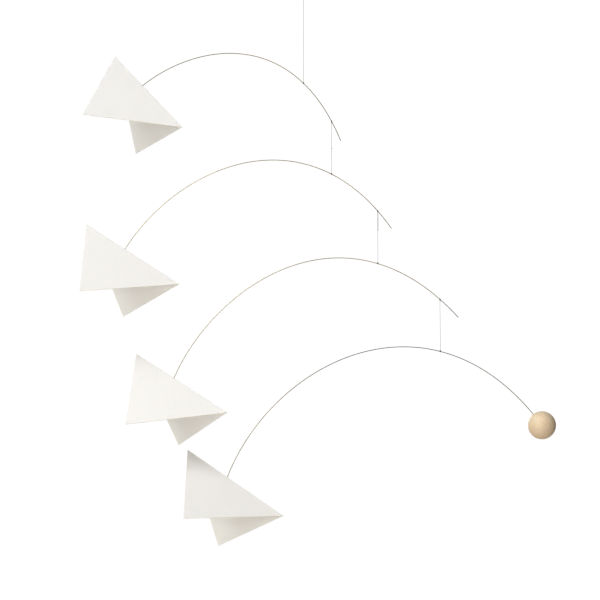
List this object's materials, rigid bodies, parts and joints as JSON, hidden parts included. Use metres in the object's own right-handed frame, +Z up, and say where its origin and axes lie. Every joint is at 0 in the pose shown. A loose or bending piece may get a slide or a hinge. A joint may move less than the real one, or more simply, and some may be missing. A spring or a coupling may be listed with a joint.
{
  "type": "hanging mobile sculpture",
  "caption": "Hanging mobile of folded white card gliders and a wooden counterweight ball on bowed wires, each wire hung by a thread from the one above.",
  "frame": {"origin": "where the hanging loop bears on its hook, inside the top of the loop", "axes": "+Z up, +X along the wires from the gliders towards the wooden ball, -Y towards the front of the gliders"},
  "size_m": [0.5084, 0.1193, 0.6202],
  "materials": {
    "card": "white uncoated board, smooth and matt",
    "wire": "drawn spring wire that has dulled in air, a muted golden brown",
    "wood": "turned and sanded light hardwood, unvarnished",
    "thread": "fine twisted thread, charcoal"
  },
  "bodies": {
    "hanging_loop": {"hanging_loop": "thread"},
    "arm_1": {"thread_1": "thread", "thread_1_lower_knot": "thread", "wire_1": "wire", "glider_1": "card", "thread_2_upper_knot": "thread"},
    "arm_2": {"thread_2": "thread", "thread_2_lower_knot": "thread", "wire_2": "wire", "glider_2": "card", "thread_3_upper_knot": "thread"},
    "arm_3": {"thread_3": "thread", "thread_3_lower_knot": "thread", "wire_3": "wire", "glider_3": "card", "thread_4_upper_knot": "thread"},
    "arm_4": {"thread_4": "thread", "thread_4_lower_knot": "thread", "wire_4": "wire", "glider_4": "card", "wooden_ball": "wood"}
  },
  "joints": [
    {"name": "arm_1_swivel", "type": "hinge", "parent": "hanging_loop", "child": "arm_1", "pos_m": [0, 0, -0.1163], "axis": [0, 0, 1], "continuous": true},
    {"name": "arm_2_swivel", "type": "hinge", "parent": "arm_1", "child": "arm_2", "pos_m": [0.03068, 0, -0.15963], "axis": [0, 0, 1], "continuous": true},
    {"name": "arm_3_swivel", "type": "hinge", "parent": "arm_2", "child": "arm_3", "pos_m": [0.08055, 0, -0.26085], "axis": [0, 0, 1], "continuous": true},
    {"name": "arm_4_swivel", "type": "hinge", "parent": "arm_3", "child": "arm_4", "pos_m": [0.14721, 0, -0.35922], "axis": [0, 0, 1], "continuous": true}
  ]
}
